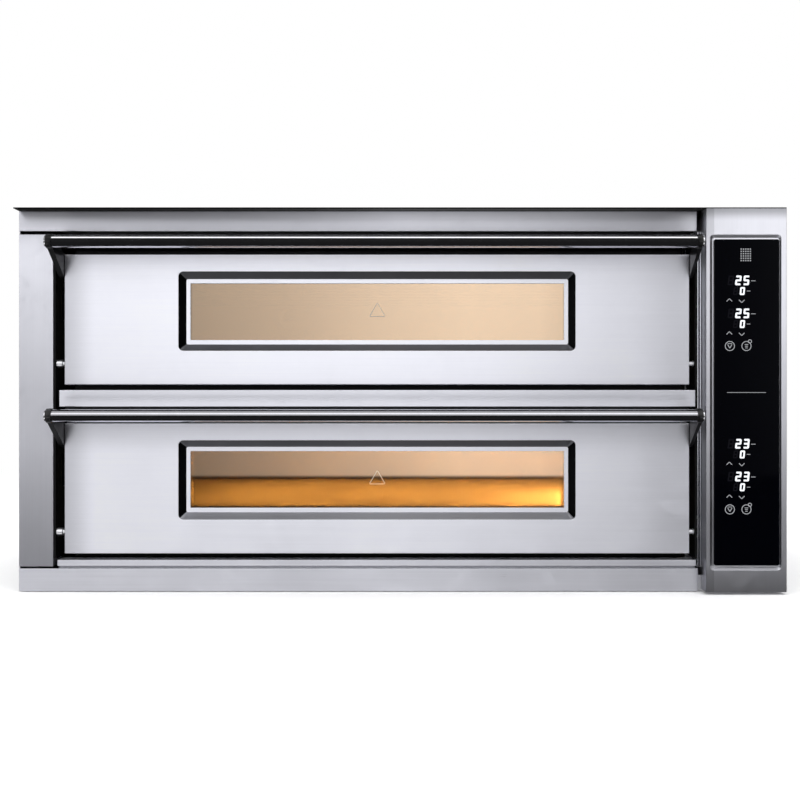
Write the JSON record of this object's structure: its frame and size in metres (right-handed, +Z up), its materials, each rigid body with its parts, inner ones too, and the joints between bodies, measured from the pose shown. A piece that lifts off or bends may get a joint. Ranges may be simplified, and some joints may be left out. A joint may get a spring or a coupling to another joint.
{
  "type": "countertop pizza oven",
  "caption": "Bench-top electric deck pizza oven: stainless casing, drop-down glazed doors with bar handles, and a tall touch-control column at the right.",
  "frame": {"origin": "middle of the overall box in X and Y, at the level the feet stand on", "axes": "+X to the right as seen by someone facing the doors, +Y from the front to the back, +Z up"},
  "size_m": [1.372, 0.896, 0.687],
  "materials": {
    "stainless": "brushed",
    "stainless_inner": "satin",
    "chamber_steel": "heat-tinted satin",
    "bright_steel": "polished",
    "black_steel": "satin",
    "flue_steel": "satin",
    "damper_steel": "satin",
    "bronze_glass": "bronze mirrored",
    "clear_glass": "clear",
    "control_black": "gloss black",
    "circuit_board": "satin",
    "contactor_plastic": "satin",
    "terminal_plastic": "satin",
    "gland_plastic": "satin",
    "fan_plastic": "satin",
    "foot_rubber": "matt",
    "gasket": "braided",
    "bush_brass": "satin",
    "baking_stone": "matt",
    "element_sheath": "oxidised",
    "lamp_metal": "satin",
    "mineral_wool": "fibrous"
  },
  "bodies": {
    "cabinet": {"back_panel": "stainless", "base_pan": "stainless", "bottom_fascia": "stainless", "cabinet_screws": "bright_steel", "cable_gland": "gland_plastic", "contactors": "contactor_plastic", "control_glass": "control_black", "control_housing": "stainless", "display_board": "circuit_board", "divider_wall": "stainless_inner", "fan_housing": "fan_plastic", "feet": "foot_rubber", "hinge_pins": "bright_steel", "insulation_boards": "mineral_wool", "lamp_housings": "lamp_metal", "lamp_lenses": "clear_glass", "left_front_post": "stainless", "left_hinge_plate": "black_steel", "left_side_panel": "stainless", "lower_baking_stones": "baking_stone", "lower_chamber_liner": "chamber_steel", "lower_flue_spigot": "flue_steel", "lower_front_frame": "stainless_inner", "lower_heating_elements": "element_sheath", "middle_fascia": "stainless", "relay_board": "circuit_board", "right_hinge_plate": "black_steel", "right_post_trim": "stainless", "right_side_panel": "stainless", "temperature_probes": "element_sheath", "terminal_block": "terminal_plastic", "top_cover": "stainless", "top_fascia": "stainless", "upper_baking_stones": "baking_stone", "upper_chamber_liner": "chamber_steel", "upper_flue_spigot": "flue_steel", "upper_front_frame": "stainless_inner", "upper_heating_elements": "element_sheath"},
    "upper_door": {"upper_door_bushes": "bush_brass", "upper_door_gasket": "gasket", "upper_door_inner_pan": "stainless_inner", "upper_door_skin": "stainless", "upper_handle_bar": "bright_steel", "upper_handle_brackets": "black_steel", "upper_handle_fixings": "bright_steel", "upper_window_inner_glass": "clear_glass", "upper_window_outer_glass": "bronze_glass"},
    "lower_door": {"lower_door_bushes": "bush_brass", "lower_door_gasket": "gasket", "lower_door_inner_pan": "stainless_inner", "lower_door_skin": "stainless", "lower_handle_bar": "bright_steel", "lower_handle_brackets": "black_steel", "lower_handle_fixings": "bright_steel", "lower_window_inner_glass": "clear_glass", "lower_window_outer_glass": "bronze_glass"},
    "fan_impeller": {"fan_rotor": "fan_plastic"},
    "upper_damper": {"upper_flue_damper": "damper_steel"},
    "lower_damper": {"lower_flue_damper": "damper_steel"}
  },
  "joints": [
    {"name": "upper_door_hinge", "type": "hinge", "parent": "cabinet", "child": "upper_door", "pos_m": [0, -0.37, 0.4113], "axis": [1, 0, 0], "range_deg": [0, 90]},
    {"name": "lower_door_hinge", "type": "hinge", "parent": "cabinet", "child": "lower_door", "pos_m": [0, -0.37, 0.1073], "axis": [1, 0, 0], "range_deg": [0, 90]},
    {"name": "fan_spin", "type": "hinge", "parent": "cabinet", "child": "fan_impeller", "pos_m": [0.61, 0.394, 0.56], "axis": [0, 1, 0], "continuous": true},
    {"name": "upper_damper_turn", "type": "hinge", "parent": "cabinet", "child": "upper_damper", "pos_m": [-0.3, 0.415, 0.558], "axis": [-1, 0, 0], "range_deg": [0, 90]},
    {"name": "lower_damper_turn", "type": "hinge", "parent": "cabinet", "child": "lower_damper", "pos_m": [-0.3, 0.415, 0.254], "axis": [-1, 0, 0], "range_deg": [0, 90]}
  ]
}
